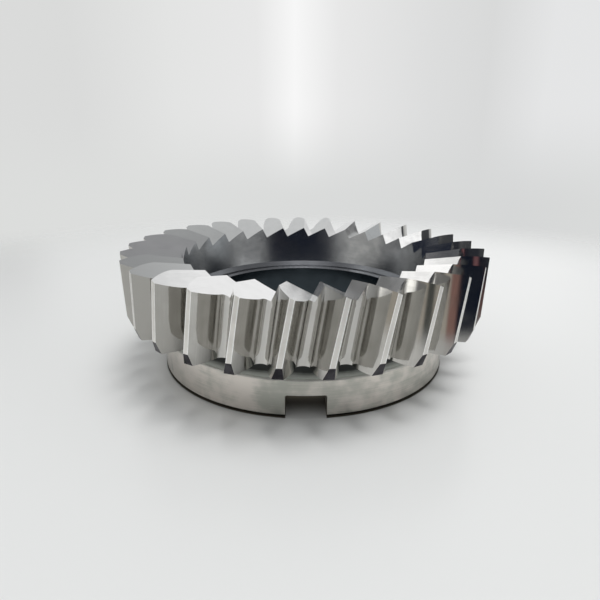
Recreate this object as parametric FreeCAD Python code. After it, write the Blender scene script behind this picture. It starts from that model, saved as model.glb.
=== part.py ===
import FreeCAD
import Part
import math
import os

# Helical gear shaper cutter, ground from one piece of high-speed steel.
# The cutter stands on the seat face of its hub and cuts with its upper end.
# Origin: centre of the seat face, on the bore axis. Z points along that axis
# to the cutting end, and the driving notch faces -Y. Lengths are millimetres.

# Tooth system. The tooth form is that of a helical involute gear whose profile
# shift falls from the cutting end to the back, which gives tips and flanks
# their relief behind the cutting edges.
tooth_count = 29
normal_module = 4.5
pressure_angle_deg = 20.0
helix_angle_deg = 9.5
addendum_factor = 1.25
dedendum_factor = 1.25
front_profile_shift = 1.22
relief_angle_deg = 1.8
root_rounding = 1.8

# Heights above the seat face
hub_height = 14.05
teeth_back_height = 20.3
recess_floor_height = 25.75
cutting_tip_height = 46.45

# Hub, neck, bore and recess
hub_radius = 58.8
hub_seat_chamfer = 1.15
hub_shoulder_chamfer = 0.4
neck_depth = 4.2
neck_corner_bevel = 1.2
bore_radius = 44.45
bore_edge_chamfer = 0.8
recess_radius = 49.9
recess_corner_bevel = 1.8

# Chamfer that ends each tooth tip at the back
end_chamfer_height = 4.45
end_chamfer_depth = 1.7

# Step grinding of the cutting faces. Each tooth has a flat face of its own
# that falls to the right across the tooth and inwards to the axis. A step wall
# square to that face rises to the face of the next tooth.
face_slope_deg = 27.0
face_rake_deg = 8.0
step_wall_skew_deg = 4.4
step_wall_to_gap_centre = 0.6

# Driving notch through the hub wall
notch_width = 14.0
notch_height = 8.45
notch_corner_radius = 0.8

# Turn of the tooth gap nearest the notch, measured where the tip lands end
gap_phase_deg = -0.4

# How far cutting bodies run past the faces that they cut
overrun = 1.0

# Values that follow from the tooth system
pressure_angle = math.radians(pressure_angle_deg)
helix_angle = math.radians(helix_angle_deg)
transverse_angle = math.atan(math.tan(pressure_angle) / math.cos(helix_angle))
pitch_radius = normal_module * tooth_count / (2.0 * math.cos(helix_angle))
base_radius = pitch_radius * math.cos(transverse_angle)
pitch_turn = 2.0 * math.pi / tooth_count
twist_per_mm = math.tan(helix_angle) / pitch_radius
relief_slope = math.tan(math.radians(relief_angle_deg))
face_slope = math.tan(math.radians(face_slope_deg))
face_rake = math.tan(math.radians(face_rake_deg))
land_end_height = teeth_back_height + end_chamfer_height


def involute(angle):
    """Return the involute function of a pressure angle in radians."""
    return math.tan(angle) - angle


def profile_shift(height):
    """Return the profile shift in millimetres at a height above the seat."""
    return front_profile_shift - (cutting_tip_height - height) * relief_slope


def tip_radius(height):
    """Return the radius of the tooth tips at a height."""
    return pitch_radius + addendum_factor * normal_module + profile_shift(height)


def root_radius(height):
    """Return the radius of the gap bottoms at a height."""
    return pitch_radius - dedendum_factor * normal_module + profile_shift(height)


def base_half_angle(height):
    """Return half the angle that a tooth covers on the base circle."""
    shift = profile_shift(height)
    arc = math.pi * normal_module / 2.0 + 2.0 * shift * math.tan(pressure_angle)
    half_angle = arc / (2.0 * pitch_radius * math.cos(helix_angle))
    return half_angle + involute(transverse_angle)


def gap_turn(height):
    """Return the angle of the first gap's centre line from -Y at a height."""
    return math.radians(gap_phase_deg) + (height - land_end_height) * twist_per_mm


def tooth_turn(height):
    """Return the angle of the tooth left of the first gap at a height."""
    return gap_turn(height) - pitch_turn / 2.0


def ring_point(radius, turn, height):
    """Return the point at a radius and at an angle from -Y, seen from above."""
    return FreeCAD.Vector(radius * math.sin(turn), -radius * math.cos(turn), height)


def flank_turn(radius, height):
    """Return the angle from a gap's centre line to its flank at a radius."""
    flank = 0.0
    if radius > base_radius:
        flank = involute(math.acos(base_radius / radius))
    return pitch_turn / 2.0 - base_half_angle(height) + flank


def root_contact_radius(height):
    """Return the radius at which the rounded gap bottom runs into the flank."""
    centre = root_radius(height) + root_rounding
    reach = centre ** 2 - base_radius ** 2
    if reach > root_rounding ** 2:
        roll = math.sqrt(reach) - root_rounding
        return math.sqrt(base_radius ** 2 + roll ** 2)
    return math.sqrt(centre ** 2 - root_rounding ** 2)


def smooth_edge(passes):
    """Return one smooth edge through points spaced evenly along it.

    Each pass is a list of a point and, where it matters, the tangent there.
    """
    last = len(passes) - 1
    curve = Part.BezierCurve()
    curve.interpolate(passes, [index / last for index in range(last + 1)])
    return curve.toBSpline().toShape()


def gap_section(height):
    """Return the closed outline of one tooth gap at a height.

    Its sides are involute flanks, which a rounded bottom joins.
    """
    turn = gap_turn(height)
    contact = root_contact_radius(height)
    outside = tip_radius(height) + overrun / 2.0
    flank_steps = 3
    flanks = []
    leaving = []
    for side in (-1.0, 1.0):
        flank = []
        for step in range(flank_steps + 1):
            radius = contact + (outside - contact) * step / flank_steps
            side_turn = turn + side * flank_turn(radius, height)
            flank.append([ring_point(radius, side_turn, height)])
        flanks.append(flank)
        near_turn = turn + side * flank_turn(contact + overrun / 10.0, height)
        slope = ring_point(contact + overrun / 10.0, near_turn, height) - flank[0][0]
        slope.normalize()
        leaving.append(slope * (math.pi * (contact - root_radius(height))))
    bottom = ring_point(root_radius(height), turn, height)
    crown = ring_point(outside + overrun / 4.0, turn, height)
    outline = [
        flanks[0][::-1],
        [[flanks[0][0][0], leaving[0] * -1.0], [bottom], [flanks[1][0][0], leaving[1]]],
        flanks[1],
        [flanks[1][-1], [crown], flanks[0][-1]],
    ]
    return Part.Wire([smooth_edge(passes) for passes in outline])


def turned_blank(top):
    """Return the turned blank, with the teeth still a plain ring."""
    tip_end = tip_radius(land_end_height)
    neck = root_radius(teeth_back_height) - neck_depth
    outline = [
        (bore_radius + bore_edge_chamfer, 0.0),
        (hub_radius - hub_seat_chamfer, 0.0),
        (hub_radius, hub_seat_chamfer),
        (hub_radius, hub_height - hub_shoulder_chamfer),
        (hub_radius - hub_shoulder_chamfer, hub_height),
        (neck, hub_height),
        (neck, teeth_back_height),
        (tip_end - end_chamfer_depth, teeth_back_height),
        (tip_end, land_end_height),
        (tip_radius(top), top),
        (recess_radius, top),
        (recess_radius, recess_floor_height),
        (bore_radius + bore_edge_chamfer, recess_floor_height),
        (bore_radius, recess_floor_height - bore_edge_chamfer),
        (bore_radius, bore_edge_chamfer),
    ]
    bevelled = {
        (neck, hub_height): neck_corner_bevel,
        (neck, teeth_back_height): neck_corner_bevel,
        (recess_radius, recess_floor_height): recess_corner_bevel,
    }
    points = []
    count = len(outline)
    for index, corner in enumerate(outline):
        here = FreeCAD.Vector(corner[0], 0.0, corner[1])
        bevel = bevelled.get(corner)
        if bevel is None:
            points.append(here)
            continue
        for other in (outline[index - 1], outline[(index + 1) % count]):
            way = FreeCAD.Vector(other[0], 0.0, other[1]) - here
            way.normalize()
            points.append(here + way * bevel)
    points.append(points[0])
    face = Part.Face(Part.makePolygon(points))
    axis_point = FreeCAD.Vector(0.0, 0.0, 0.0)
    return face.revolve(axis_point, FreeCAD.Vector(0.0, 0.0, 1.0), 360.0)


def face_grinding_body(turn, top):
    """Return the block that a grinding wheel clears above one tooth face.

    Its floor is the tooth's cutting face and its side the step wall beside it.
    """
    outward = FreeCAD.Vector(math.sin(turn), -math.cos(turn), 0.0)
    across = FreeCAD.Vector(math.cos(turn), math.sin(turn), 0.0)
    upward = FreeCAD.Vector(0.0, 0.0, 1.0)
    normal = across * face_slope - outward * face_rake + upward
    normal.normalize()

    # The foot of the step wall runs outwards through the bottom of the gap
    root = root_radius(cutting_tip_height)
    foot_offset = root * math.sin(pitch_turn / 2.0) - step_wall_to_gap_centre
    foot_radius = root * math.cos(pitch_turn / 2.0)
    drop = (tip_radius(cutting_tip_height) - foot_radius) * face_rake
    foot_height = cutting_tip_height - foot_offset * face_slope - drop
    foot = outward * foot_radius + across * foot_offset + upward * foot_height

    skew = math.radians(step_wall_skew_deg)
    along = outward * math.cos(skew) + across * math.sin(skew)
    along = along + upward * (along.dot(outward) * face_rake - along.dot(across) * face_slope)
    along.normalize()
    away = normal.cross(along)
    away.normalize()
    if away.dot(across) > 0.0:
        away = away * -1.0

    inner_reach = foot_radius - recess_radius + 8.0 * overrun
    outer_reach = tip_radius(top) - foot_radius + 8.0 * overrun
    width = 1.6 * pitch_turn * tip_radius(top)
    height = 1.5 * (top - foot_height) + 2.0 * overrun
    corner = foot - along * inner_reach
    floor = [
        corner,
        foot + along * outer_reach,
        foot + along * outer_reach + away * width,
        corner + away * width,
        corner,
    ]
    return Part.Face(Part.makePolygon(floor)).extrude(normal * height)


def notch_body():
    """Return the body that mills the driving notch out of the hub wall."""
    half = notch_width / 2.0
    round_off = notch_corner_radius
    outside = -hub_radius - overrun
    inside = -bore_radius + notch_width
    low = -overrun
    slope = round_off * (1.0 - math.sqrt(0.5))

    def at(across, height):
        return FreeCAD.Vector(across, outside, height)

    left_arc = Part.Arc(
        at(-half, notch_height - round_off),
        at(-half + slope, notch_height - slope),
        at(-half + round_off, notch_height),
    )
    right_arc = Part.Arc(
        at(half - round_off, notch_height),
        at(half - slope, notch_height - slope),
        at(half, notch_height - round_off),
    )
    edges = [
        Part.LineSegment(at(half, low), at(-half, low)).toShape(),
        Part.LineSegment(at(-half, low), at(-half, notch_height - round_off)).toShape(),
        left_arc.toShape(),
        Part.LineSegment(at(-half + round_off, notch_height), at(half - round_off, notch_height)).toShape(),
        right_arc.toShape(),
        Part.LineSegment(at(half, notch_height - round_off), at(half, low)).toShape(),
    ]
    face = Part.Face(Part.Wire(edges))
    return face.extrude(FreeCAD.Vector(0.0, inside - outside, 0.0))


def turned_copies(shape):
    """Return a copy of a shape for each tooth, turned round the axis."""
    copies = []
    for index in range(tooth_count):
        copy = shape.copy()
        turn = math.degrees(pitch_turn * index)
        copy.rotate(FreeCAD.Vector(0.0, 0.0, 0.0), FreeCAD.Vector(0.0, 0.0, 1.0), turn)
        copies.append(copy)
    return copies


def make_cutter():
    """Return the finished cutter as one solid."""
    half_step = face_slope * pitch_turn * pitch_radius / 2.0
    top = cutting_tip_height + half_step
    cutter = turned_blank(top)
    cutter = cutter.cut(notch_body())

    grinding = face_grinding_body(tooth_turn(cutting_tip_height), top)
    for body in turned_copies(grinding):
        cutter = cutter.cut(body)

    low = (hub_height + teeth_back_height) / 2.0
    high = top + overrun
    lowest_face = cutting_tip_height - face_slope * pitch_turn * pitch_radius
    middle = (teeth_back_height + lowest_face) / 2.0
    sections = [gap_section(height) for height in (low, middle, lowest_face, high)]
    gap = Part.makeLoft(sections, True, True)
    cutter = cutter.cut(turned_copies(gap))
    return cutter.Solids[0] if len(cutter.Solids) == 1 else cutter


def main():
    """Build the cutter and write its STEP file."""
    os.makedirs("parts", exist_ok=True)
    cutter = make_cutter()
    cutter.exportStep("parts/shaper_cutter.step")
    box = cutter.BoundBox
    print("valid", cutter.isValid(), "solids", len(cutter.Solids), "faces", len(cutter.Faces))
    print("size", round(box.XLength, 2), round(box.YLength, 2), round(box.ZLength, 2))
    print("volume", round(cutter.Volume, 1))


main()
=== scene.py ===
"""Looks, light and camera for the gear shaper cutter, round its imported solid."""

import logging
import math
from dataclasses import dataclass
from enum import Enum
from typing import Any, Dict, List, Optional, Sequence, Tuple, Union

import bmesh
import bpy
from mathutils import Matrix, Vector


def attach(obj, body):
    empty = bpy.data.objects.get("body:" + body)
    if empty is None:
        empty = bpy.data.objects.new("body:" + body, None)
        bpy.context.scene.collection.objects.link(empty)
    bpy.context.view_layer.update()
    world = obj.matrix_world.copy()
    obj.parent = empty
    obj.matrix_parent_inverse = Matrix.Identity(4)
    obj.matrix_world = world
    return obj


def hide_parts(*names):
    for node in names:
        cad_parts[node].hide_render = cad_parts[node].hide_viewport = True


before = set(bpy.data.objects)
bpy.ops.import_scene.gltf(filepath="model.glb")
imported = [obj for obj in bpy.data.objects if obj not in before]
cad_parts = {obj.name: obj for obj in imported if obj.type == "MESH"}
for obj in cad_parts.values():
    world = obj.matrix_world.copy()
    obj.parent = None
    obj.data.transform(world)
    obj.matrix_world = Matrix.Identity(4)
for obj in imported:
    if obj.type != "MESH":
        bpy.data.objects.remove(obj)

logging.basicConfig(level=logging.INFO, format="%(levelname)s %(message)s")
LOG = logging.getLogger("shaper_cutter")

MM = 0.001
Colour = Tuple[float, float, float]
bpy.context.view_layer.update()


class Region(Enum):
    """The surfaces of the cutter, each with a finish of its own."""

    FLANK = "tooth_flank"
    GAP_BOTTOM = "gap_bottom"
    TIP_LAND = "tip_land"
    CUTTING_FACE = "cutting_face"
    STEP_WALL = "step_wall"
    END_CHAMFER = "end_chamfer"
    TOOTH_BACK = "tooth_back"
    NECK = "neck"
    HUB_TOP = "hub_top"
    HUB_WALL = "hub_wall"
    HUB_SHOULDER = "hub_shoulder"
    HUB_CHAMFER = "hub_chamfer"
    SEAT_FACE = "seat_face"
    BORE = "bore"
    RECESS_FLOOR = "recess_floor"
    RECESS_WALL = "recess_wall"
    NOTCH = "driving_notch"


class Grain(Enum):
    """The way in which the marks of grinding and turning run."""

    AROUND = "around the axis, on a wall"
    FACED = "around the axis, on a face"
    ALONG_TEETH = "along the teeth"
    FROM_AXIS = "outwards from the axis"
    CLOUDED = "no single way"


@dataclass(frozen=True)
class ToothSystem:
    """The helical tooth form, with the same values as the solid, in millimetres."""

    tooth_count: int = 29
    normal_module: float = 4.5
    pressure_angle: float = math.radians(20.0)
    helix_angle: float = math.radians(9.5)
    addendum_factor: float = 1.25
    dedendum_factor: float = 1.25
    front_profile_shift: float = 1.22
    relief_angle: float = math.radians(1.8)
    cutting_tip_height: float = 46.45
    teeth_back_height: float = 20.3
    end_chamfer_height: float = 4.45
    end_chamfer_depth: float = 1.7
    gap_phase: float = math.radians(-0.4)
    root_rounding: float = 1.8

    @property
    def pitch_radius(self) -> float:
        """Return the radius of the pitch circle."""
        return self.normal_module * self.tooth_count / (2.0 * math.cos(self.helix_angle))

    @property
    def transverse_angle(self) -> float:
        """Return the pressure angle in a section square to the axis."""
        return math.atan(math.tan(self.pressure_angle) / math.cos(self.helix_angle))

    @property
    def base_radius(self) -> float:
        """Return the radius of the circle that the involutes unroll from."""
        return self.pitch_radius * math.cos(self.transverse_angle)

    @property
    def pitch_turn(self) -> float:
        """Return the angle from one tooth to the next."""
        return 2.0 * math.pi / self.tooth_count

    @property
    def twist(self) -> float:
        """Return the turn of the teeth for each millimetre of height."""
        return math.tan(self.helix_angle) / self.pitch_radius

    @property
    def land_end_height(self) -> float:
        """Return the height at which the tip lands meet their end chamfers."""
        return self.teeth_back_height + self.end_chamfer_height

    @property
    def relief_slope(self) -> float:
        """Return how far the tips fall for each millimetre below the cutting end."""
        return math.tan(self.relief_angle)

    def profile_shift(self, height: float) -> float:
        """Return the profile shift at a height."""
        return self.front_profile_shift - (self.cutting_tip_height - height) * self.relief_slope

    def tip_radius(self, height: float) -> float:
        """Return the radius of the tooth tips at a height."""
        return self.pitch_radius + self.addendum_factor * self.normal_module + self.profile_shift(height)

    def root_radius(self, height: float) -> float:
        """Return the radius of the gap bottoms at a height."""
        return self.pitch_radius - self.dedendum_factor * self.normal_module + self.profile_shift(height)

    def base_half_angle(self, height: float) -> float:
        """Return half the angle of a tooth on the base circle at a height."""
        arc = math.pi * self.normal_module / 2.0
        arc += 2.0 * self.profile_shift(height) * math.tan(self.pressure_angle)
        half = arc / (2.0 * self.pitch_radius * math.cos(self.helix_angle))
        return half + math.tan(self.transverse_angle) - self.transverse_angle

    def gap_turn(self, height: float) -> float:
        """Return the angle of a gap's centre line from -Y at a height."""
        return self.gap_phase + (height - self.land_end_height) * self.twist

    def land_half_angle(self, height: float) -> float:
        """Return half the angle that a tip land covers at a height."""
        roll = math.acos(self.base_radius / self.tip_radius(height))
        return self.base_half_angle(height) - (math.tan(roll) - roll)

    def contact_radius(self, height: float) -> float:
        """Return the radius at which the rounded gap bottom meets the flank."""
        centre = self.root_radius(height) + self.root_rounding
        reach = centre ** 2 - self.base_radius ** 2
        if reach > self.root_rounding ** 2:
            roll = math.sqrt(reach) - self.root_rounding
            return math.sqrt(self.base_radius ** 2 + roll ** 2)
        return math.sqrt(centre ** 2 - self.root_rounding ** 2)

    def gap_angle(self, point: Vector) -> float:
        """Return a point's angle from the centre line of its own gap.

        Args:
            point: A place on the cutter, in millimetres.

        Returns:
            The angle in radians, between minus and plus half a pitch.
        """
        turn = math.atan2(point.x, -point.y) - self.gap_turn(point.z)
        return turn - self.pitch_turn * round(turn / self.pitch_turn)

    def flank_normal(self, point: Vector) -> Vector:
        """Return the exact normal of the involute flank through a point.

        Args:
            point: A place on a flank, in millimetres.

        Returns:
            The unit normal that points out of the steel into the gap.
        """
        radius = math.hypot(point.x, point.y)
        turn = math.atan2(point.x, -point.y)
        side = 1.0 if self.gap_angle(point) > 0.0 else -1.0
        reach = max(radius ** 2 - self.base_radius ** 2, 0.0)
        opening = side * math.sqrt(reach) / (radius * self.base_radius)
        widening = -self.relief_slope * math.tan(self.pressure_angle)
        widening /= self.pitch_radius * math.cos(self.helix_angle)
        climb = self.twist + side * widening
        outward = Vector((math.sin(turn), -math.cos(turn), 0.0))
        across = Vector((math.cos(turn), math.sin(turn), 0.0))
        along_radius = outward + across * (radius * opening)
        along_axis = across * (radius * climb) + Vector((0.0, 0.0, 1.0))
        normal = along_radius.cross(along_axis).normalized()
        return normal if normal.dot(across) * side < 0.0 else -normal


TEETH = ToothSystem()


class Wire:
    """A shader socket that takes part in Python arithmetic."""

    def __init__(self, graph: "Graph", socket: bpy.types.NodeSocket) -> None:
        """Keep the socket and the graph that it belongs to."""
        self.graph = graph
        self.socket = socket

    def _maths(self, operation: str, first: Any, second: Any = None) -> "Wire":
        """Add a Math node on one or two values and return its result."""
        values = {0: first} if second is None else {0: first, 1: second}
        return self.graph.node("ShaderNodeMath", {"operation": operation}, values)

    def __add__(self, other: Any) -> "Wire":
        """Return the sum."""
        return self._maths("ADD", self, other)

    def __radd__(self, other: Any) -> "Wire":
        """Return the sum."""
        return self._maths("ADD", other, self)

    def __sub__(self, other: Any) -> "Wire":
        """Return the difference."""
        return self._maths("SUBTRACT", self, other)

    def __rsub__(self, other: Any) -> "Wire":
        """Return the difference, the other way round."""
        return self._maths("SUBTRACT", other, self)

    def __mul__(self, other: Any) -> "Wire":
        """Return the product."""
        return self._maths("MULTIPLY", self, other)

    def __rmul__(self, other: Any) -> "Wire":
        """Return the product."""
        return self._maths("MULTIPLY", other, self)

    def __truediv__(self, other: Any) -> "Wire":
        """Return the quotient."""
        return self._maths("DIVIDE", self, other)

    def power(self, exponent: float) -> "Wire":
        """Return the value raised to a power."""
        return self._maths("POWER", self, exponent)

    def size(self) -> "Wire":
        """Return the value without its sign."""
        return self._maths("ABSOLUTE", self)

    def rounded(self) -> "Wire":
        """Return the nearest whole number."""
        return self._maths("ROUND", self)

    def angle_to(self, other: Any) -> "Wire":
        """Return the angle whose tangent is this value over another."""
        return self._maths("ARCTAN2", self, other)

    def step(self, low: float, high: float) -> "Wire":
        """Return a smooth step from 0 at one value to 1 at another."""
        settings = {"interpolation_type": "SMOOTHSTEP", "clamp": True}
        values = {"Value": self, "From Min": low, "From Max": high, "To Min": 0.0, "To Max": 1.0}
        return self.graph.node("ShaderNodeMapRange", settings, values)


Value = Union[Wire, float, Sequence[float]]


class Graph:
    """The node tree of a material or of the world, written as expressions."""

    def __init__(self, owner: Union[bpy.types.Material, bpy.types.World]) -> None:
        """Switch the owner's nodes on and clear them."""
        owner.use_nodes = True
        self.tree = owner.node_tree
        self.tree.nodes.clear()

    def node(
        self,
        kind: str,
        settings: Optional[Dict[str, Any]] = None,
        sockets: Optional[Dict[Union[str, int], Value]] = None,
        output: Union[str, int] = 0,
    ) -> Wire:
        """Add one node.

        Args:
            kind: The node's type.
            settings: Its own settings, set first. "stops" gives a ramp's stops.
            sockets: Values or wires for its inputs, by name or number.
            output: The output to return, by name or number.

        Returns:
            The chosen output.
        """
        node = self.tree.nodes.new(kind)
        for name, value in (settings or {}).items():
            if name == "stops":
                self._set_stops(node.color_ramp, value)
            else:
                setattr(node, name, value)
        for name, value in (sockets or {}).items():
            if isinstance(value, Wire):
                self.tree.links.new(value.socket, node.inputs[name])
            else:
                node.inputs[name].default_value = value
        return Wire(self, node.outputs[output])

    @staticmethod
    def _set_stops(ramp: bpy.types.ColorRamp, stops: Sequence[Tuple[float, Colour]]) -> None:
        """Give a colour ramp its stops."""
        while len(ramp.elements) < len(stops):
            ramp.elements.new(1.0)
        for element, (position, colour) in zip(ramp.elements, stops):
            element.position = position
            element.color = (*colour, 1.0)

    def place(self) -> Wire:
        """Return the place on the piece, in metres."""
        return self.node("ShaderNodeTexCoord", output="Object")

    def parts(self, vector: Wire) -> Tuple[Wire, Wire, Wire]:
        """Return a vector's three parts."""
        first = self.node("ShaderNodeSeparateXYZ", sockets={0: vector})
        node = first.socket.node
        return first, Wire(self, node.outputs[1]), Wire(self, node.outputs[2])

    def vector(self, first: Value, second: Value, third: Value) -> Wire:
        """Return a vector made of three values."""
        return self.node("ShaderNodeCombineXYZ", sockets={0: first, 1: second, 2: third})

    def noise(self, vector: Wire, scale: float, detail: float = 4.0, roughness: float = 0.55) -> Wire:
        """Return a cloudy pattern between 0 and 1."""
        values = {"Vector": vector, "Scale": scale, "Detail": detail, "Roughness": roughness}
        return self.node("ShaderNodeTexNoise", {"noise_dimensions": "3D"}, values, "Fac")

    def mix(self, share: Value, first: Value, second: Value) -> Wire:
        """Return a colour between two colours."""
        colours = [(*c, 1.0) if isinstance(c, tuple) else c for c in (first, second)]
        values = {0: share, 6: colours[0], 7: colours[1]}
        return self.node("ShaderNodeMix", {"data_type": "RGBA"}, values, 2)

    def bump(self, height: Value, distance: float, strength: float) -> Wire:
        """Return a normal that follows a height pattern."""
        values = {"Height": height, "Distance": distance, "Strength": strength}
        return self.node("ShaderNodeBump", sockets=values)

    def finish(self, shader: Wire, kind: str = "ShaderNodeOutputMaterial") -> None:
        """Link a shader to the tree's output."""
        node = self.tree.nodes.new(kind)
        self.tree.links.new(shader.socket, node.inputs["Surface"])


@dataclass(frozen=True)
class Spot:
    """A shaded place on the cutter, in metres, with its distance and angle round the axis."""

    place: Wire
    x: Wire
    y: Wire
    z: Wire
    radius: Wire
    turn: Wire

    @classmethod
    def read(cls, graph: Graph) -> "Spot":
        """Return the place that a material is shading."""
        place = graph.place()
        x, y, z = graph.parts(place)
        return cls(place, x, y, z, (x * x + y * y).power(0.5), x.angle_to(y * -1.0))


@dataclass(frozen=True)
class SteelPattern:
    """The marks and clouds that all the finishes have in common.

    The marks' scales are for each metre, or for each radian where they go round the axis.
    Each range is where a pattern starts to show and where it shows in full.
    """

    across_turning: float = 2600.0
    along_turning: float = 4.0
    into_turned_wall: float = 60.0
    across_lapping: float = 2200.0
    around_lapping: float = 160.0
    along_lapping: float = 25.0
    around_grinding: float = 260.0
    along_grinding: float = 60.0
    crossing_marks: float = 2500.0
    cloud_scale: float = 190.0
    patch_scale: float = 60.0
    cloud_share: float = 0.6
    patch_share: float = 0.4
    cloud_range: Tuple[float, float] = (0.36, 0.64)
    mark_range: Tuple[float, float] = (0.35, 0.7)
    mark_shade: float = 0.25
    mark_roughness: float = 0.6
    shade_below_heights: float = 0.3
    # Painted highlights along the tip lands' edges.
    edge_range: Tuple[float, float] = (0.1 * MM, 0.4 * MM)
    edge_highlight_colour: Colour = (0.97, 0.965, 0.95)
    edge_smoothing: float = 0.4


PATTERN = SteelPattern()


@dataclass(frozen=True)
class PaintedReflection:
    """A broad upright band of painted reflection: painted shade, or a painted highlight where its strength
    is below 0.

    Its bearing and half width are in degrees, from -Y towards +X.
    """

    bearing: float
    half_width: float
    strength: float

    def shade(self, spot: Spot) -> Wire:
        """Return what the painted reflection adds to the share of the shade at a spot."""
        off = (spot.turn - math.radians(self.bearing)).size()
        return (1.0 - off.step(0.0, math.radians(self.half_width))) * self.strength


@dataclass(frozen=True)
class SteelFinish:
    """One finish of the cutter's steel.

    The colour goes over into the shade by marks, clouds and painted reflection bands. The grain's
    depth is in millimetres. Painted shade heights are the two heights, in millimetres, between which
    painted shade comes in towards the top. Painted edge highlights brighten the edges of the tip lands.
    """

    name: str
    colour: Colour
    shade: Colour
    roughness: float
    roughness_spread: float
    grain: Grain
    grain_depth: float
    clouding: float = 0.3
    metallic: float = 1.0
    painted_edge_highlights: bool = False
    painted_shade_heights: Optional[Tuple[float, float]] = None
    painted_reflections: Tuple[PaintedReflection, ...] = ()

    def _along_grain(self, graph: Graph, spot: Spot) -> Wire:
        """Return the spot's place, drawn out along the way that the marks run.

        Args:
            graph: The material's node tree.
            spot: The place that is shaded.

        Returns:
            The vector for the marks' noise.
        """
        if self.grain is Grain.AROUND:
            scales = (PATTERN.into_turned_wall, PATTERN.along_turning, PATTERN.across_turning)
            return graph.vector(spot.radius * scales[0], spot.turn * scales[1], spot.z * scales[2])
        if self.grain is Grain.FACED:
            scales = (PATTERN.across_turning, PATTERN.along_turning, PATTERN.across_turning)
            return graph.vector(spot.radius * scales[0], spot.turn * scales[1], spot.z * scales[2])
        if self.grain is Grain.ALONG_TEETH:
            twisted = spot.turn - spot.z * (TEETH.twist / MM)
            scales = (PATTERN.across_lapping, PATTERN.around_lapping, PATTERN.along_lapping)
            return graph.vector(spot.radius * scales[0], twisted * scales[1], spot.z * scales[2])
        if self.grain is Grain.FROM_AXIS:
            scales = (PATTERN.around_grinding, PATTERN.along_grinding, PATTERN.along_grinding)
            return graph.vector(spot.turn * scales[0], spot.radius * scales[1], spot.z * scales[2])
        scale = PATTERN.crossing_marks
        return graph.vector(spot.x * scale, spot.y * scale, spot.z * scale)

    @staticmethod
    def _land_edge_highlights(spot: Spot) -> Wire:
        """Return 1 along the two long edges of each tip land and 0 between them, where highlights are
        painted.

        Args:
            spot: The place that is shaded.

        Returns:
            The mask of the painted highlights along the land edges.
        """
        low = TEETH.land_end_height
        high = TEETH.cutting_tip_height
        slope = (TEETH.land_half_angle(high) - TEETH.land_half_angle(low)) / (high - low)
        half = (spot.z / MM - low) * slope + TEETH.land_half_angle(low)
        from_gap = spot.turn - TEETH.gap_phase - (spot.z / MM - low) * TEETH.twist
        pitches = from_gap / TEETH.pitch_turn - 0.5
        from_tooth = (pitches - pitches.rounded()).size() * TEETH.pitch_turn
        inset = (half - from_tooth) * spot.radius
        return 1.0 - inset.step(*PATTERN.edge_range)

    def dress(self) -> bpy.types.Material:
        """Return the finish as a material."""
        material = bpy.data.materials.new(self.name)
        graph = Graph(material)
        spot = Spot.read(graph)
        marks = graph.noise(self._along_grain(graph, spot), 1.0, detail=3.0, roughness=0.6)
        clouds = graph.noise(spot.place, PATTERN.cloud_scale, detail=2.0, roughness=0.5)
        patches = graph.noise(spot.place, PATTERN.patch_scale, detail=3.0, roughness=0.5)
        cloud = clouds * PATTERN.cloud_share + patches * PATTERN.patch_share
        cloud = cloud.step(*PATTERN.cloud_range)
        share = cloud * self.clouding + marks.step(*PATTERN.mark_range) * PATTERN.mark_shade
        # Painted reflections push the colour towards the shade, or away from it.
        for painted_band in self.painted_reflections:
            share = share + painted_band.shade(spot)
        # Painted shade: between the two heights the colour goes over into the dark shade.
        if self.painted_shade_heights is not None:
            low, high = self.painted_shade_heights
            share = share * PATTERN.shade_below_heights + spot.z.step(low * MM, high * MM)
        colour = graph.mix(share.step(0.0, 1.0), self.colour, self.shade)
        rough = cloud * self.roughness_spread + marks * (self.roughness_spread * PATTERN.mark_roughness)
        rough = rough + self.roughness
        # Painted highlight: a near-white line along each long edge of the tip lands.
        if self.painted_edge_highlights:
            edge_highlights = self._land_edge_highlights(spot)
            colour = graph.mix(edge_highlights, colour, PATTERN.edge_highlight_colour)
            rough = rough * (1.0 - edge_highlights * PATTERN.edge_smoothing)
        values = {
            "Base Color": colour,
            "Metallic": self.metallic,
            "Roughness": rough,
            "Normal": graph.bump(marks, self.grain_depth * MM, 1.0),
        }
        graph.finish(graph.node("ShaderNodeBsdfPrincipled", sockets=values))
        return material


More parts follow.
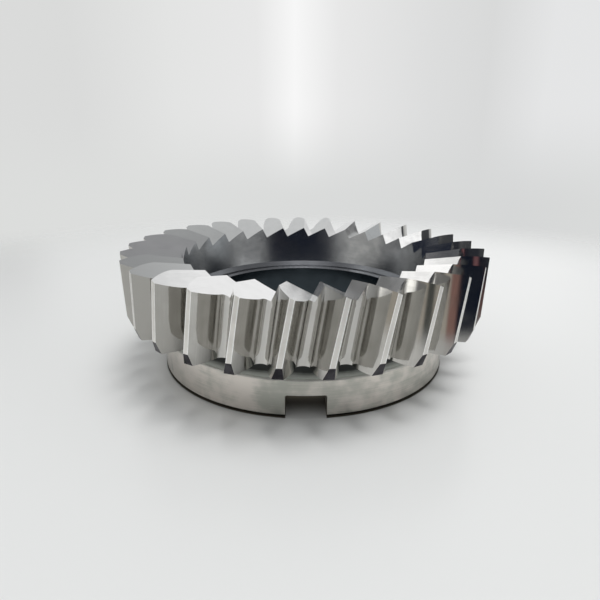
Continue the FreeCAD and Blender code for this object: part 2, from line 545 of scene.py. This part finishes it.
FINISHES: Dict[Region, SteelFinish] = {
    # Painted reflection: the flanks on the left carry painted shade for the shaded table that they mirror.
    Region.FLANK: SteelFinish(
        "lapped_flank_steel", (0.55, 0.54, 0.515), (0.41, 0.4, 0.375), 0.06, 0.05,
        Grain.ALONG_TEETH, 0.0004, painted_reflections=(PaintedReflection(-55.0, 40.0, 0.9),),
    ),
    Region.GAP_BOTTOM: SteelFinish(
        "lapped_gap_steel", (0.58, 0.57, 0.545), (0.49, 0.48, 0.455), 0.09, 0.07,
        Grain.ALONG_TEETH, 0.0006,
    ),
    Region.TIP_LAND: SteelFinish(
        "ground_land_steel", (0.78, 0.765, 0.73), (0.71, 0.695, 0.66), 0.36, 0.1,
        Grain.AROUND, 0.001, painted_edge_highlights=True,
    ),
    Region.CUTTING_FACE: SteelFinish(
        "ground_face_steel", (0.8, 0.8, 0.8), (0.72, 0.72, 0.72), 0.12, 0.06,
        Grain.FROM_AXIS, 0.0006,
    ),
    Region.STEP_WALL: SteelFinish(
        "ground_wall_steel", (0.78, 0.78, 0.78), (0.7, 0.7, 0.7), 0.14, 0.08,
        Grain.FROM_AXIS, 0.0006,
    ),
    Region.END_CHAMFER: SteelFinish(
        "dark_chamfer_steel", (0.07, 0.067, 0.075), (0.015, 0.014, 0.017), 0.32, 0.15,
        Grain.CLOUDED, 0.004, clouding=0.8,
    ),
    Region.TOOTH_BACK: SteelFinish(
        "turned_back_steel", (0.66, 0.66, 0.65), (0.56, 0.56, 0.55), 0.4, 0.15,
        Grain.FACED, 0.002,
    ),
    # Painted shade: the neck goes from its pale colour at the bottom to near black at the top, under the
    # teeth.
    Region.NECK: SteelFinish(
        "turned_neck_steel", (0.6, 0.62, 0.57), (0.015, 0.018, 0.016), 0.5, 0.15,
        Grain.AROUND, 0.002, metallic=0.2, painted_shade_heights=(13.5, 16.8),
    ),
    Region.HUB_TOP: SteelFinish(
        "turned_shoulder_steel", (0.8, 0.8, 0.74), (0.66, 0.66, 0.6), 0.5, 0.12,
        Grain.FACED, 0.002, metallic=0.25,
    ),
    # The hub wall's bands are painted reflections, darker and lighter, of the table and room that it
    # mirrors; its clouds are its own tone.
    Region.HUB_WALL: SteelFinish(
        "ground_hub_steel", (0.72, 0.675, 0.625), (0.46, 0.465, 0.42), 0.27, 0.07,
        Grain.AROUND, 0.0003, clouding=0.6,
        painted_reflections=(
            PaintedReflection(-10.0, 10.0, 0.5),
            PaintedReflection(-21.0, 8.0, -0.35),
            PaintedReflection(13.0, 8.0, 0.15),
            PaintedReflection(30.0, 9.0, 0.12),
            PaintedReflection(-44.0, 14.0, -0.4),
        ),
    ),
    Region.HUB_SHOULDER: SteelFinish(
        "ground_shoulder_steel", (0.8, 0.79, 0.75), (0.66, 0.65, 0.62), 0.3, 0.1,
        Grain.FACED, 0.0008,
    ),
    # Painted shade: the chamfers low on the hub are near black, standing in for the deep shadow on the
    # table that they mirror.
    Region.HUB_CHAMFER: SteelFinish(
        "dark_hub_chamfer_steel", (0.06, 0.057, 0.048), (0.03, 0.028, 0.023), 0.4, 0.1,
        Grain.FACED, 0.001,
    ),
    Region.SEAT_FACE: SteelFinish(
        "ground_seat_steel", (0.6, 0.59, 0.57), (0.54, 0.53, 0.51), 0.22, 0.1,
        Grain.CLOUDED, 0.0008,
    ),
    # Painted shade: the bore's steel is dark, standing in for the shade inside the bore.
    Region.BORE: SteelFinish(
        "honed_bore_steel", (0.1, 0.125, 0.145), (0.08, 0.1, 0.118), 0.12, 0.06,
        Grain.AROUND, 0.0006,
    ),
    Region.RECESS_FLOOR: SteelFinish(
        "ground_recess_floor_steel", (0.28, 0.29, 0.31), (0.2, 0.21, 0.23), 0.16, 0.08,
        Grain.FACED, 0.0006,
    ),
    Region.RECESS_WALL: SteelFinish(
        "turned_recess_wall_steel", (0.5, 0.51, 0.52), (0.36, 0.37, 0.38), 0.18, 0.05,
        Grain.AROUND, 0.00005, clouding=0.6,
    ),
    Region.NOTCH: SteelFinish(
        "milled_notch_steel", (0.32, 0.3, 0.26), (0.24, 0.22, 0.19), 0.4, 0.15,
        Grain.CLOUDED, 0.002,
    ),
}

FLAT_REGIONS = (
    Region.CUTTING_FACE,
    Region.STEP_WALL,
    Region.SEAT_FACE,
    Region.TOOTH_BACK,
    Region.HUB_TOP,
    Region.NOTCH,
)


@dataclass
class Cutter:
    """The cutter's one piece of steel, with exact normals on its ground surfaces.

    Sizes are in millimetres, with the same values as the solid. The last fields sort the small
    faces of the mesh: slack, facet_sag and neck_margin are distances of a face's centre from a
    surface, and the others are parts of a unit normal, outwards from the axis or along it.
    """

    node: str = "shaper_cutter"
    slot: str = "cutter_steel"
    hub_radius: float = 58.8
    hub_height: float = 14.05
    recess_radius: float = 49.9
    recess_floor_height: float = 25.75
    floor_bevel: float = 1.8
    bore_radius: float = 44.45
    notch_half_width: float = 7.0
    notch_height: float = 8.45
    wall_lean: float = math.radians(14.0)
    merge_distance: float = 0.003
    slack: float = 0.02
    facet_sag: float = 0.4
    neck_margin: float = 0.8
    wall_outward: float = 0.97
    bevel_outward: float = 0.5
    level_upward: float = 0.99
    face_upward: float = 0.8
    step_upward: float = 0.35
    downward: float = 0.3

    def region_of(self, centre: Vector, normal: Vector) -> Region:
        """Return the surface that a small face belongs to.

        Args:
            centre: The face's centre, in millimetres.
            normal: The face's unit normal.

        Returns:
            The surface.
        """
        radius = math.hypot(centre.x, centre.y)
        outward = normal.dot(Vector((centre.x / radius, centre.y / radius, 0.0)))
        if self._is_notch(centre, normal, outward):
            return Region.NOTCH
        if centre.z < self.hub_height + self.slack:
            return self._hub_region(radius, centre.z, normal, outward)
        if radius < self.recess_radius + self.slack and outward < self.bevel_outward:
            if outward < -self.wall_outward and radius > self.recess_radius - self.facet_sag:
                return Region.RECESS_WALL
            if outward < -self.wall_outward and radius < self.bore_radius + self.slack:
                return Region.BORE
            if centre.z < self.recess_floor_height + self.floor_bevel + self.slack:
                return Region.RECESS_FLOOR
        return self._tooth_region(radius, centre, normal, outward)

    def _is_notch(self, centre: Vector, normal: Vector, outward: float) -> bool:
        """Tell whether a small face belongs to the driving notch in the hub's front.

        The first narrow facets of its rounded corners stay with the chamfer.

        Args:
            centre: The face's centre, in millimetres.
            normal: The face's unit normal.
            outward: The part of the face's normal that points away from the axis.

        Returns:
            Whether the face is one of the notch's walls or its roof.
        """
        in_width = abs(centre.x) < self.notch_half_width + self.slack and centre.y < 0.0
        in_height = centre.z < self.notch_height + self.slack
        side_or_roof = abs(normal.z) < self.slack or normal.z < -self.downward
        return in_width and in_height and side_or_roof and abs(outward) < self.wall_outward

    def _hub_region(self, radius: float, height: float, normal: Vector, outward: float) -> Region:
        """Return the surface of a small face on the hub."""
        if normal.z < -self.level_upward and height < self.slack:
            return Region.SEAT_FACE
        if outward < -self.bevel_outward:
            return Region.BORE
        if outward > self.wall_outward and radius > self.hub_radius - self.facet_sag:
            return Region.HUB_WALL
        if normal.z > self.level_upward:
            return Region.HUB_TOP
        return Region.HUB_SHOULDER if height > self.notch_height else Region.HUB_CHAMFER

    def _tooth_region(self, radius: float, centre: Vector, normal: Vector, outward: float) -> Region:
        """Return the surface of a small face on the toothed ring."""
        if centre.z < TEETH.teeth_back_height + self.slack:
            if normal.z < -self.level_upward:
                return Region.TOOTH_BACK
            if radius < TEETH.root_radius(TEETH.teeth_back_height) - self.neck_margin:
                return Region.NECK
        tip = TEETH.tip_radius(centre.z)
        if outward > self.wall_outward and radius > tip - self.facet_sag:
            return Region.TIP_LAND
        if centre.z < TEETH.land_end_height + self.slack and normal.z < -self.downward:
            if radius > tip - 2.0 * TEETH.end_chamfer_depth:
                return Region.END_CHAMFER
        if normal.z > self.face_upward:
            return Region.CUTTING_FACE
        if normal.z > self.step_upward:
            return Region.STEP_WALL
        if radius > TEETH.contact_radius(centre.z) - self.slack:
            return Region.FLANK
        return Region.GAP_BOTTOM

    def build(self) -> bpy.types.Object:
        """Return the cutter as one merged piece that stands for its node."""
        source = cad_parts[self.node].data
        shape = bmesh.new()
        shape.from_mesh(source)
        bmesh.ops.remove_doubles(shape, verts=shape.verts, dist=self.merge_distance * MM)
        shape.normal_update()
        regions = list(Region)
        for face in shape.faces:
            centre = face.calc_center_median() / MM
            face.material_index = regions.index(self.region_of(centre, face.normal))
            face.smooth = True
        mesh = bpy.data.meshes.new("cutter_body")
        shape.to_mesh(mesh)
        shape.free()
        self._set_normals(mesh)
        piece = bpy.data.objects.new("cutter_body", mesh)
        bpy.context.scene.collection.objects.link(piece)
        return piece

    def _set_normals(self, mesh: bpy.types.Mesh) -> None:
        """Give each corner of the mesh the exact normal of its surface."""
        regions = list(Region)
        sums: Dict[Tuple[int, Region], Vector] = {}
        for polygon in mesh.polygons:
            region = regions[polygon.material_index]
            for vertex in polygon.vertices:
                key = (vertex, region)
                sums[key] = sums.get(key, Vector((0.0, 0.0, 0.0))) + polygon.normal * polygon.area
        normals: List[Vector] = []
        for polygon in mesh.polygons:
            region = regions[polygon.material_index]
            for vertex in polygon.vertices:
                point = mesh.vertices[vertex].co / MM
                if region in FLAT_REGIONS:
                    normals.append(polygon.normal.copy())
                elif region is Region.FLANK:
                    normals.append(TEETH.flank_normal(point))
                elif region is Region.GAP_BOTTOM:
                    normals.append(sums[(vertex, region)].normalized())
                elif region is Region.RECESS_WALL:
                    normals.append(self._leaning_normal(point))
                else:
                    normals.append(self._turned_normal(point, polygon.normal, polygon.center / MM))
        mesh.normals_split_custom_set(normals)

    def _leaning_normal(self, point: Vector) -> Vector:
        """Return the recess wall's normal at a point, tipped up towards the dark of the room."""
        turn = math.atan2(point.y, point.x)
        inward = -math.cos(self.wall_lean)
        return Vector((math.cos(turn) * inward, math.sin(turn) * inward, math.sin(self.wall_lean)))

    @staticmethod
    def _turned_normal(point: Vector, flat: Vector, centre: Vector) -> Vector:
        """Return a turned surface's normal at a point of one of its facets.

        Args:
            point: The point, in millimetres.
            flat: The facet's own normal.
            centre: The facet's centre, in millimetres.

        Returns:
            The facet's normal, turned round the axis from the centre to the point.
        """
        middle = math.atan2(centre.y, centre.x)
        here = math.atan2(point.y, point.x)
        leaning = flat.dot(Vector((math.cos(middle), math.sin(middle), 0.0)))
        length = math.hypot(leaning, flat.z)
        outward = leaning / length
        return Vector((math.cos(here) * outward, math.sin(here) * outward, flat.z / length))

    @staticmethod
    def dress(piece: bpy.types.Object) -> None:
        """Give the piece its finishes, one for each surface."""
        for region in Region:
            piece.data.materials.append(FINISHES[region].dress())

    def make(self) -> bpy.types.Object:
        """Build and dress the cutter and tie it to its node."""
        piece = self.build()
        self.dress(piece)
        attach(piece, "root")
        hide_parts(self.node)
        LOG.info("%s: %d faces", piece.name, len(piece.data.polygons))
        return piece


@dataclass(frozen=True)
class Panel:
    """A soft bright or dark area of the studio, by its direction from the cutter.

    All its angles are in degrees. The bearing is 0 towards -Y and 90 towards +X, and the height is
    that of the panel's middle over the horizon.
    """

    name: str
    bearing: float
    height: float
    half_width: float
    half_height: float
    softness: float
    colour: Colour

    def mask(self, x: Wire, y: Wire, height: Wire) -> Wire:
        """Return 1 inside the panel and 0 outside it, with a soft border.

        Args:
            x: The first part of the direction.
            y: The second part of the direction.
            height: The direction's angle above the horizon, in radians.

        Returns:
            The mask.
        """
        bearing = math.radians(self.bearing)
        ahead = x * math.sin(bearing) - y * math.cos(bearing)
        aside = x * math.cos(bearing) + y * math.sin(bearing)
        off_side = aside.angle_to(ahead).size()
        off_height = (height - math.radians(self.height)).size()
        soft = math.radians(self.softness)
        wide = math.radians(self.half_width)
        tall = math.radians(self.half_height)
        inside = 1.0 - off_side.step(wide - soft, wide + soft)
        return inside * (1.0 - off_height.step(tall - soft, tall + soft))


@dataclass
class Studio:
    """The room's light, the table and the background.

    Lengths are in metres. The footprint is the part of the table that the cutter stands on, the
    middle is what the bore leaves open of it. Both are darkened with painted shade, which lifts in
    the strip under the notch, and close by the hub a painted contact shadow darkens the table.
    """

    panels: Sequence[Panel] = (
        Panel("front_of_room", 0.0, 22.0, 112.0, 44.0, 8.0, (0.27, 0.27, 0.27)),
        Panel("left_window", -74.0, 34.0, 36.0, 13.0, 3.0, (1.27, 1.26, 1.24)),
        Panel("left_window_top", -84.0, 50.0, 16.0, 6.0, 1.5, (2.6, 2.6, 2.55)),
        Panel("back_left_dark", -132.0, 9.0, 20.0, 11.0, 3.0, (0.15, 0.15, 0.15)),
        Panel("right_window", 70.0, 31.0, 15.0, 9.0, 3.0, (1.4, 1.4, 1.39)),
        Panel("right_of_room", 100.0, 12.0, 14.0, 18.0, 5.0, (0.46, 0.48, 0.49)),
        Panel("bright_backdrop", 163.0, 18.0, 16.0, 26.0, 6.0, (1.0, 1.0, 1.0)),
        Panel("dark_curtain", 14.0, 18.0, 34.0, 34.0, 3.0, (0.008, 0.012, 0.024)),
        Panel("dark_door", -22.0, 12.0, 12.0, 10.0, 6.0, (0.008, 0.012, 0.024)),
        Panel("right_glow", 58.0, 13.0, 18.0, 6.0, 6.0, (0.5, 0.5, 0.49)),
        Panel("left_glow", -68.0, 12.0, 20.0, 6.0, 7.0, (0.66, 0.65, 0.62)),
        Panel("left_bench", -57.0, -4.0, 34.0, 9.0, 3.0, (0.46, 0.43, 0.38)),
        Panel("left_gap", -41.0, -2.0, 4.0, 9.0, 2.0, (0.08, 0.085, 0.08)),
        Panel("left_far", -103.0, -8.0, 16.0, 10.0, 4.0, (0.07, 0.07, 0.06)),
        Panel("left_red", -20.0, -3.0, 5.0, 8.0, 2.5, (0.28, 0.16, 0.14)),
        Panel("right_red", 26.0, 2.0, 4.0, 6.0, 2.0, (0.21, 0.1, 0.11)),
        Panel("right_brown", 37.0, -5.0, 5.0, 4.0, 2.0, (0.16, 0.09, 0.085)),
        Panel("right_dark", 54.0, 0.0, 12.0, 12.0, 3.0, (0.034, 0.038, 0.05)),
        Panel("right_low", 93.0, -4.0, 32.0, 6.0, 2.0, (0.07, 0.075, 0.085)),
        Panel("right_post", 121.0, 12.0, 5.0, 9.0, 2.0, (0.07, 0.07, 0.07)),
    )
    backdrop: Panel = Panel("backdrop", 172.0, -3.0, 36.0, 9.0, 3.0, (1.0, 1.0, 1.0))
    fold_span: float = math.radians(80.0)
    horizon: Tuple[float, float] = (math.radians(-7.0), math.radians(4.0))
    lamp_place: Tuple[float, float, float] = (0.24, 0.04, 1.3)
    lamp_size: float = 0.6
    lamp_power: float = 9.2
    floor_radius: float = 1.6
    floor_corners: int = 128
    floor_fade: Tuple[float, float] = (0.22, 0.42)
    floor_colour: Colour = (0.78, 0.785, 0.78)
    floor_roughness: float = 0.28
    covered_roughness: float = 0.8
    # Painted shade on the table: near black under the hub, dark grey inside the bore, lifting in the strip
    # under the notch.
    footprint_radius: float = 0.0587
    footprint_border: float = 0.0006
    under_hub_shade_colour: Colour = (0.05, 0.042, 0.028)
    contact_shadow_width: float = 0.006
    contact_shadow_strength: float = 0.2
    middle_radius: float = 0.0445
    middle_border: float = 0.002
    bore_shade_colour: Colour = (0.34, 0.34, 0.335)
    notch_half_width: float = 0.007
    notch_border: float = 0.0002
    notch_reach: Tuple[float, float] = (0.048, 0.0597)
    notch_opening: float = 0.75

    def light(self) -> None:
        """Set the world: a pale room with soft panels round the cutter.

        Shiny steel mirrors the room with its panels, and the backdrop behind itself. Light that is
        scattered by a surface comes from the plain room, without the panels. The camera sees only
        the background.
        """
        world = bpy.data.worlds.new("studio_room")
        bpy.context.scene.world = world
        graph = Graph(world)
        way = graph.node("ShaderNodeTexCoord", output="Generated")
        x, y, z = graph.parts(way)
        height = z.angle_to((x * x + y * y).power(0.5))
        stops = [
            (0.0, (0.6, 0.6, 0.6)),
            (0.5, (0.62, 0.63, 0.63)),
            (0.67, (0.64, 0.65, 0.65)),
            (0.76, (0.52, 0.53, 0.53)),
            (0.83, (0.34, 0.35, 0.35)),
            (0.88, (0.27, 0.27, 0.28)),
            (0.905, (0.3, 0.3, 0.31)),
            (0.94, (1.2, 1.2, 1.2)),
            (1.0, (2.0, 2.0, 2.0)),
        ]
        plain = graph.node("ShaderNodeValToRGB", {"stops": stops}, {0: height / math.pi + 0.5}, "Color")
        room = plain
        for panel in self.panels:
            room = graph.mix(panel.mask(x, y, height), room, panel.colour)
        view = self._background(graph, x, y, height)
        seen = graph.node("ShaderNodeLightPath", output="Is Camera Ray")
        shiny = graph.node("ShaderNodeLightPath", output="Is Glossy Ray")
        behind = self.backdrop.mask(x, y, height)
        colour = graph.mix(seen + shiny * behind, graph.mix(shiny, plain, room), view)
        values = {"Color": colour, "Strength": 1.0}
        graph.finish(graph.node("ShaderNodeBackground", sockets=values), "ShaderNodeOutputWorld")

    def _background(self, graph: Graph, x: Wire, y: Wire, height: Wire) -> Wire:
        """Return the pale backdrop that the camera sees, with its soft upright folds.

        Args:
            graph: The world's node tree.
            x: The first part of the direction.
            y: The second part of the direction.
            height: The direction's angle above the horizon, in radians.

        Returns:
            The colour.
        """
        aside = x.angle_to(y) / self.fold_span + 0.5
        folds = [
            (0.0, (0.71, 0.715, 0.71)),
            (0.22, (0.7, 0.705, 0.7)),
            (0.34, (0.77, 0.775, 0.77)),
            (0.45, (0.8, 0.8, 0.8)),
            (0.5, (0.93, 0.93, 0.93)),
            (0.56, (0.8, 0.8, 0.8)),
            (0.68, (0.72, 0.725, 0.725)),
            (0.75, (0.69, 0.695, 0.695)),
            (0.82, (0.78, 0.785, 0.79)),
            (0.9, (0.78, 0.785, 0.79)),
            (1.0, (0.71, 0.715, 0.71)),
        ]
        upper = graph.node("ShaderNodeValToRGB", {"stops": folds}, {0: aside}, "Color")
        table = [
            (0.0, (0.71, 0.72, 0.71)),
            (0.3, (0.72, 0.73, 0.72)),
            (0.8, (0.67, 0.68, 0.68)),
            (1.0, (0.71, 0.72, 0.71)),
        ]
        lower = graph.node("ShaderNodeValToRGB", {"stops": table}, {0: aside}, "Color")
        return graph.mix(height.step(*self.horizon), lower, upper)

    def lamp(self) -> bpy.types.Object:
        """Return the large soft lamp over the table."""
        data = bpy.data.lights.new("soft_lamp", "AREA")
        data.shape = "DISK"
        data.size = self.lamp_size
        data.energy = self.lamp_power
        lamp = bpy.data.objects.new("soft_lamp", data)
        bpy.context.scene.collection.objects.link(lamp)
        place = Vector(self.lamp_place)
        turn = (-place).to_track_quat("-Z", "Y").to_matrix().to_4x4()
        lamp.matrix_world = Matrix.Translation(place) @ turn
        lamp.visible_glossy = False
        LOG.info("%s: %.1f W", lamp.name, self.lamp_power)
        return lamp

    def floor(self) -> bpy.types.Object:
        """Return the table, a wide disc whose rim fades into the background."""
        shape = bmesh.new()
        bmesh.ops.create_circle(shape, cap_ends=True, radius=self.floor_radius, segments=self.floor_corners)
        mesh = bpy.data.meshes.new("table_top")
        shape.to_mesh(mesh)
        shape.free()
        table = bpy.data.objects.new("table_top", mesh)
        bpy.context.scene.collection.objects.link(table)
        mesh.materials.append(self._floor_material())
        LOG.info("%s: radius %.2f m", table.name, self.floor_radius)
        return table

    def _floor_material(self) -> bpy.types.Material:
        """Return the table's pale glossy finish, with painted shade under the hub and inside the bore and a
        painted contact shadow close by the hub.
        """
        material = bpy.data.materials.new("pale_table")
        graph = Graph(material)
        place = graph.place()
        x, y, _ = graph.parts(place)
        radius = (x * x + y * y).power(0.5)
        rim = self.footprint_radius
        beyond = radius.step(rim, rim + self.footprint_border)
        in_width = 1.0 - x.size().step(self.notch_half_width - self.notch_border, self.notch_half_width)
        in_notch = (y * -1.0).step(*self.notch_reach) * in_width
        outer = radius.step(self.middle_radius - self.middle_border, self.middle_radius)
        # Painted shade: near black under the hub ring, dark grey inside the bore.
        painted_table_shade = graph.mix(outer, self.bore_shade_colour, self.under_hub_shade_colour)
        # Painted contact shadow: the open table darkens over the last few millimetres towards the hub.
        clear_share = radius.step(rim, rim + self.contact_shadow_width) * self.contact_shadow_strength
        open_share = beyond * (clear_share + (1.0 - self.contact_shadow_strength))
        # Painted light: the painted shade under the hub lifts towards the front in the strip under the
        # notch.
        open_share = open_share + (1.0 - beyond) * in_notch * self.notch_opening
        values = {
            "Base Color": graph.mix(open_share, painted_table_shade, self.floor_colour),
            "Roughness": self.covered_roughness - beyond * (self.covered_roughness - self.floor_roughness),
        }
        surface = graph.node("ShaderNodeBsdfPrincipled", sockets=values)
        clear = graph.node("ShaderNodeBsdfTransparent")
        fade = radius.step(*self.floor_fade)
        graph.finish(graph.node("ShaderNodeMixShader", sockets={0: fade, 1: surface, 2: clear}))
        return material

    def make(self) -> None:
        """Set the light and the table."""
        self.light()
        self.lamp()
        self.floor()


@dataclass
class ViewPoint:
    """The camera, where the photograph was taken from.

    The place, the lens and the sensor are in millimetres, and the angles in radians.
    """

    place: Tuple[float, float, float] = (-3.66, -200.2, 88.35)
    lens: float = 29.16
    sensor: float = 36.0
    bearing: float = 0.010924
    look_down: float = 0.3194
    roll: float = 0.0032

    def make(self) -> bpy.types.Object:
        """Create the camera and make it the scene's own."""
        data = bpy.data.cameras.new("view_camera")
        data.lens = self.lens
        data.sensor_width = self.sensor
        data.clip_start = 0.01
        camera = bpy.data.objects.new("view_camera", data)
        bpy.context.scene.collection.objects.link(camera)
        side = math.sin(self.bearing)
        ahead = math.cos(self.bearing)
        right = Vector((ahead, -side, 0.0))
        drop = math.sin(self.look_down)
        level = math.cos(self.look_down)
        forward = Vector((side * level, ahead * level, -drop))
        up = right.cross(forward)
        rolled_right = right * math.cos(self.roll) + up * math.sin(self.roll)
        rolled_up = up * math.cos(self.roll) - right * math.sin(self.roll)
        turn = Matrix((rolled_right, rolled_up, -forward)).transposed()
        camera.matrix_world = Matrix.Translation(Vector(self.place) * MM) @ turn.to_4x4()
        bpy.context.scene.camera = camera
        LOG.info("%s: lens %.2f mm", camera.name, self.lens)
        return camera


def main() -> None:
    """Make the camera, the cutter and the studio."""
    bpy.context.scene.view_settings.view_transform = "Standard"
    ViewPoint().make()
    Cutter().make()
    Studio().make()


if __name__ == "__main__":
    main()
